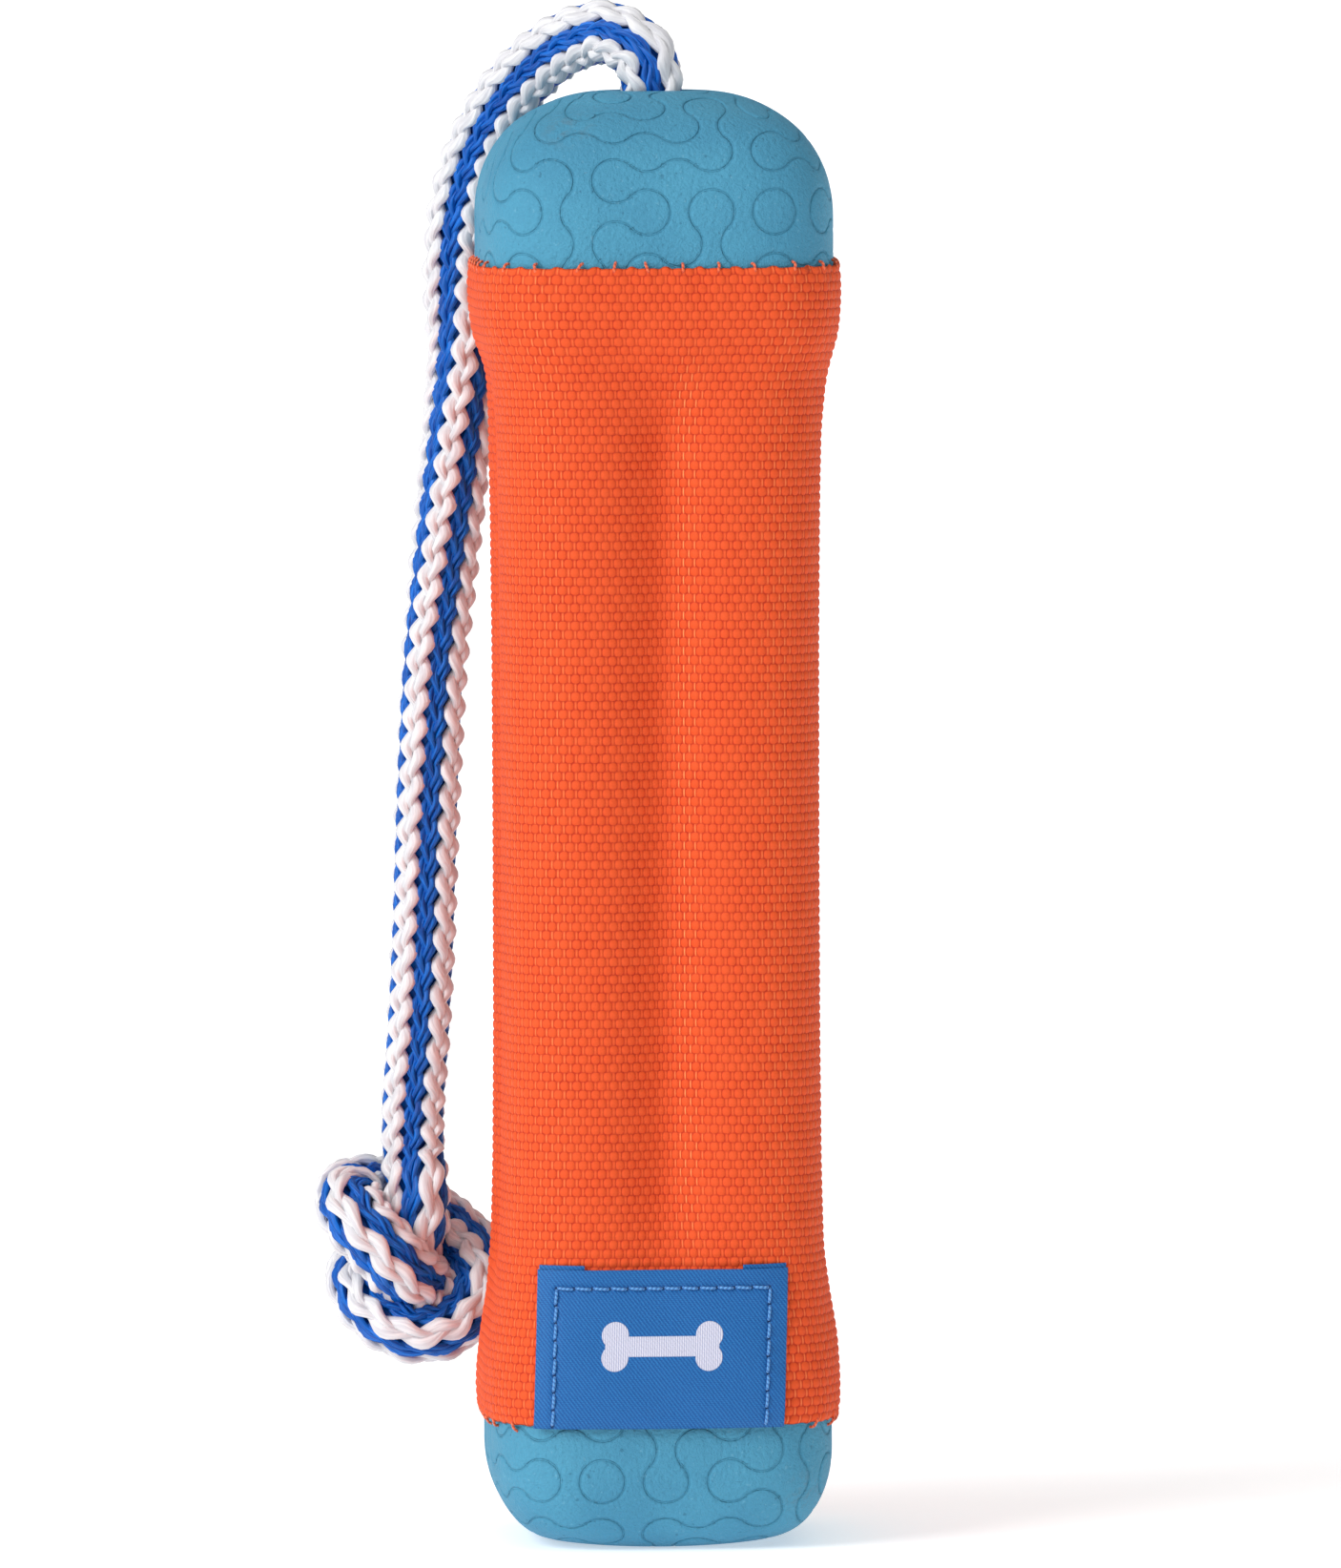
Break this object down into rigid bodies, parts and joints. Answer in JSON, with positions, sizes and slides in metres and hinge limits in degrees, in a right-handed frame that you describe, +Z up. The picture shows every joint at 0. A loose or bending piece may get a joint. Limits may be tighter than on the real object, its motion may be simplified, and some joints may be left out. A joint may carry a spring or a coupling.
{
  "type": "training bumper",
  "caption": "Fetch bumper for dogs: fluted foam core in a woven sleeve, moulded end caps and a knotted throw rope out of the top cap.",
  "frame": {"origin": "centre of the flat foot under the bottom cap", "axes": "+Z up along the body towards the roped cap, -Y out of the labelled face"},
  "size_m": [0.0899, 0.0795, 0.2695],
  "materials": {
    "cap_foam_rubber": "matte moulded foam rubber with fine pits and engraved curved lines",
    "core_foam": "closed-cell foam",
    "sleeve_cloth": "coarse plain-woven nylon",
    "sleeve_thread": "bonded sewing thread",
    "label_satin": "woven satin",
    "label_thread": "sewing thread",
    "rope_cord": "braided polypropylene, white and blue strands"
  },
  "bodies": {
    "bumper_body": {"top_end_cap": "cap_foam_rubber", "bottom_end_cap": "cap_foam_rubber", "foam_core": "core_foam", "fabric_sleeve": "sleeve_cloth", "woven_label": "label_satin", "label_thread": "label_thread", "top_hem_thread": "sleeve_thread", "bottom_hem_thread": "sleeve_thread", "back_seam_thread": "sleeve_thread"},
    "rope_base": {"anchor_knot": "rope_cord", "rope_stem": "rope_cord"},
    "rope_tail": {"throw_rope": "rope_cord", "end_knot": "rope_cord"}
  },
  "joints": [
    {"name": "rope_swivel", "type": "hinge", "parent": "bumper_body", "child": "rope_base", "pos_m": [0, 0, 0.241], "axis": [0, 0, 1], "continuous": true},
    {"name": "rope_swing", "type": "hinge", "parent": "rope_base", "child": "rope_tail", "pos_m": [-0.007, 0.007, 0.2638], "axis": [0.7071, 0.7071, 0], "range_deg": [0, 90]}
  ]
}
